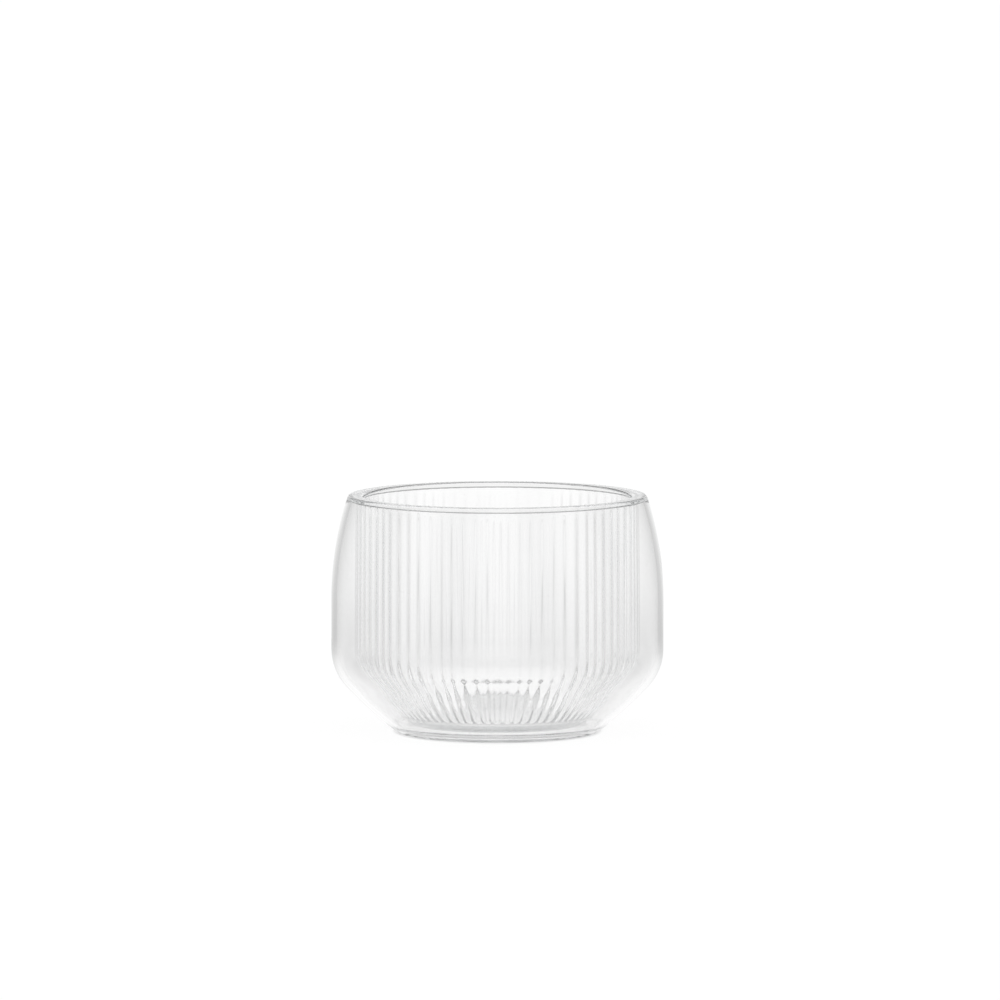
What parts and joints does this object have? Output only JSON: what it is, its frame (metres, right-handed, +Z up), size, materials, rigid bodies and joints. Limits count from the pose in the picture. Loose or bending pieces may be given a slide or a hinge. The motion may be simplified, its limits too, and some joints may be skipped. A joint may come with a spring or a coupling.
{
  "type": "chai glass",
  "caption": "Low round double-walled chai glass in clear blown glass: a ribbed inner vessel welded at a rounded lip into a smooth outer shell with a turned-in heel and a flat foot.",
  "frame": {"origin": "middle of the foot, in the plane of the table", "axes": "+Z points up out of the mouth; X and Y are level, and the glass is the same all round"},
  "size_m": [0.084, 0.084, 0.06],
  "materials": {
    "clear_glass": "fire-polished, clear"
  },
  "bodies": {
    "root": {"rim": "clear_glass", "outer_wall": "clear_glass", "outer_heel": "clear_glass", "base": "clear_glass", "inner_wall": "clear_glass", "inner_heel": "clear_glass", "inner_floor": "clear_glass"}
  },
  "joints": []
}
